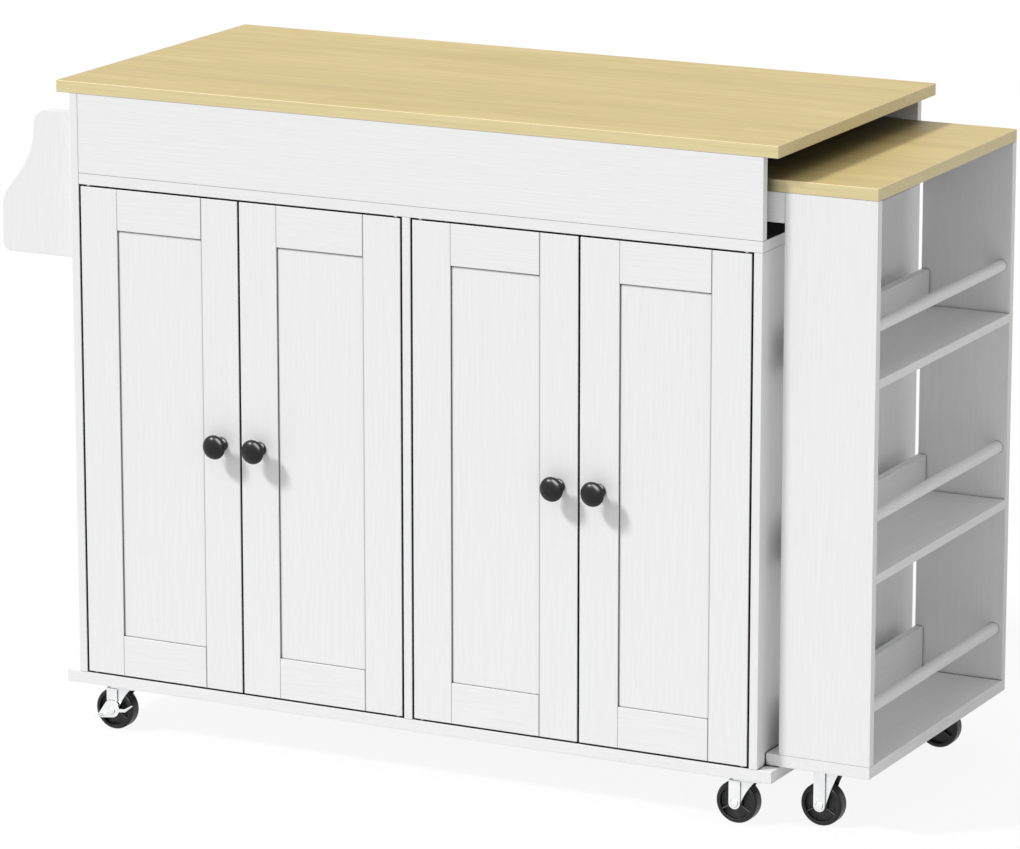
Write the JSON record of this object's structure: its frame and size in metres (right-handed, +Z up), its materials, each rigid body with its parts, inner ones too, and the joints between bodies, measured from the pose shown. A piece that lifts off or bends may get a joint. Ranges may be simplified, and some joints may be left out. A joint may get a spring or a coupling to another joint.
{
  "type": "rolling kitchen island",
  "caption": "Kitchen island cabinet on swivel casters with shaker doors, an extending table on a pull-out open rack, and a side spice rack.",
  "frame": {"origin": "on the floor, under the middle of the box round the whole island, with its doors shut and its table pushed in", "axes": "+X along the length towards the pull-out rack, which is to the right as the doors are faced; +Y from the doors to the back; +Z up"},
  "size_m": [1.272, 0.5438, 0.893],
  "materials": {
    "oak_laminate": "matt pale oak laminate, grain along the length",
    "white_board": "white laminated board with a fine embossed wood grain",
    "black_knob": "black satin enamel",
    "zinc_steel": "bright zinc plate on pressed steel",
    "black_wheel": "moulded black nylon",
    "glide_plastic": "white slippery plastic"
  },
  "bodies": {
    "cabinet": {"main_top": "oak_laminate", "base_board": "white_board", "left_side_panel": "white_board", "right_side_panel": "white_board", "centre_divider": "white_board", "carcass_top": "white_board", "front_apron": "white_board", "back_apron": "white_board", "back_panels": "white_board", "shelf_boards": "white_board", "shelf_pins": "zinc_steel", "hinge_pins": "zinc_steel", "table_stops": "white_board", "spice_ends": "white_board", "spice_shelf": "white_board", "spice_rail": "white_board", "caster_plates": "zinc_steel"},
    "door_1": {"door_1_frame": "white_board", "door_1_panel": "white_board", "door_1_knob": "black_knob"},
    "door_2": {"door_2_frame": "white_board", "door_2_panel": "white_board", "door_2_knob": "black_knob"},
    "door_3": {"door_3_frame": "white_board", "door_3_panel": "white_board", "door_3_knob": "black_knob"},
    "door_4": {"door_4_frame": "white_board", "door_4_panel": "white_board", "door_4_knob": "black_knob"},
    "rack": {"rack_top": "oak_laminate", "rack_front_panel": "white_board", "rack_back_panel": "white_board", "rack_base": "white_board", "rack_shelves": "white_board", "rack_lips": "white_board", "rack_rails": "white_board", "table_rails": "white_board", "table_end_board": "white_board", "table_glides": "glide_plastic", "rack_caster_plates": "zinc_steel"},
    "caster_front_left": {"fork_front_left": "zinc_steel", "axle_front_left": "zinc_steel"},
    "roller_front_left": {"wheel_front_left": "black_wheel"},
    "lever_front_left": {"brake_front_left": "zinc_steel"},
    "caster_front_right": {"fork_front_right": "zinc_steel", "axle_front_right": "zinc_steel"},
    "roller_front_right": {"wheel_front_right": "black_wheel"},
    "caster_back_left": {"fork_back_left": "zinc_steel", "axle_back_left": "zinc_steel"},
    "roller_back_left": {"wheel_back_left": "black_wheel"},
    "lever_back_left": {"brake_back_left": "zinc_steel"},
    "caster_back_right": {"fork_back_right": "zinc_steel", "axle_back_right": "zinc_steel"},
    "roller_back_right": {"wheel_back_right": "black_wheel"},
    "caster_rack_front": {"fork_rack_front": "zinc_steel", "axle_rack_front": "zinc_steel"},
    "roller_rack_front": {"wheel_rack_front": "black_wheel"},
    "caster_rack_back": {"fork_rack_back": "zinc_steel", "axle_rack_back": "zinc_steel"},
    "roller_rack_back": {"wheel_rack_back": "black_wheel"}
  },
  "joints": [
    {"name": "door_1_hinge", "type": "hinge", "parent": "cabinet", "child": "door_1", "pos_m": [-0.498, -0.232, 0.417], "axis": [0, 0, -1], "range_deg": [0, 100]},
    {"name": "door_2_hinge", "type": "hinge", "parent": "cabinet", "child": "door_2", "pos_m": [-0.034, -0.232, 0.417], "axis": [0, 0, 1], "range_deg": [0, 82]},
    {"name": "door_3_hinge", "type": "hinge", "parent": "cabinet", "child": "door_3", "pos_m": [0.002, -0.232, 0.417], "axis": [0, 0, -1], "range_deg": [0, 82]},
    {"name": "door_4_hinge", "type": "hinge", "parent": "cabinet", "child": "door_4", "pos_m": [0.466, -0.232, 0.417], "axis": [0, 0, 1], "range_deg": [0, 100]},
    {"name": "table_slide", "type": "slide", "parent": "cabinet", "child": "rack", "axis": [1, 0, 0], "range_m": [0, 0.45]},
    {"name": "swivel_front_left", "type": "hinge", "parent": "cabinet", "child": "caster_front_left", "pos_m": [-0.457, -0.2185, 0.055], "axis": [0, 0, 1], "continuous": true},
    {"name": "roll_front_left", "type": "hinge", "parent": "caster_front_left", "child": "roller_front_left", "pos_m": [-0.4753, -0.2185, 0.0285], "axis": [0, 1, 0], "continuous": true},
    {"name": "brake_front_left", "type": "hinge", "parent": "caster_front_left", "child": "lever_front_left", "pos_m": [-0.4753, -0.2185, 0.0285], "axis": [0, -1, 0], "range_deg": [0, 20]},
    {"name": "swivel_front_right", "type": "hinge", "parent": "cabinet", "child": "caster_front_right", "pos_m": [0.474, -0.2185, 0.055], "axis": [0, 0, 1], "continuous": true},
    {"name": "roll_front_right", "type": "hinge", "parent": "caster_front_right", "child": "roller_front_right", "pos_m": [0.4557, -0.2185, 0.0285], "axis": [0, 1, 0], "continuous": true},
    {"name": "swivel_back_left", "type": "hinge", "parent": "cabinet", "child": "caster_back_left", "pos_m": [-0.457, 0.2475, 0.055], "axis": [0, 0, 1], "continuous": true},
    {"name": "roll_back_left", "type": "hinge", "parent": "caster_back_left", "child": "roller_back_left", "pos_m": [-0.4753, 0.2475, 0.0285], "axis": [0, 1, 0], "continuous": true},
    {"name": "brake_back_left", "type": "hinge", "parent": "caster_back_left", "child": "lever_back_left", "pos_m": [-0.4753, 0.2475, 0.0285], "axis": [0, -1, 0], "range_deg": [0, 20]},
    {"name": "swivel_back_right", "type": "hinge", "parent": "cabinet", "child": "caster_back_right", "pos_m": [0.474, 0.2475, 0.055], "axis": [0, 0, 1], "continuous": true},
    {"name": "roll_back_right", "type": "hinge", "parent": "caster_back_right", "child": "roller_back_right", "pos_m": [0.4557, 0.2475, 0.0285], "axis": [0, 1, 0], "continuous": true},
    {"name": "swivel_rack_front", "type": "hinge", "parent": "rack", "child": "caster_rack_front", "pos_m": [0.576, -0.1795, 0.055], "axis": [0, 0, 1], "continuous": true},
    {"name": "roll_rack_front", "type": "hinge", "parent": "caster_rack_front", "child": "roller_rack_front", "pos_m": [0.5577, -0.1795, 0.0285], "axis": [0, 1, 0], "continuous": true},
    {"name": "swivel_rack_back", "type": "hinge", "parent": "rack", "child": "caster_rack_back", "pos_m": [0.576, 0.2085, 0.055], "axis": [0, 0, 1], "continuous": true},
    {"name": "roll_rack_back", "type": "hinge", "parent": "caster_rack_back", "child": "roller_rack_back", "pos_m": [0.5577, 0.2085, 0.0285], "axis": [0, 1, 0], "continuous": true}
  ]
}
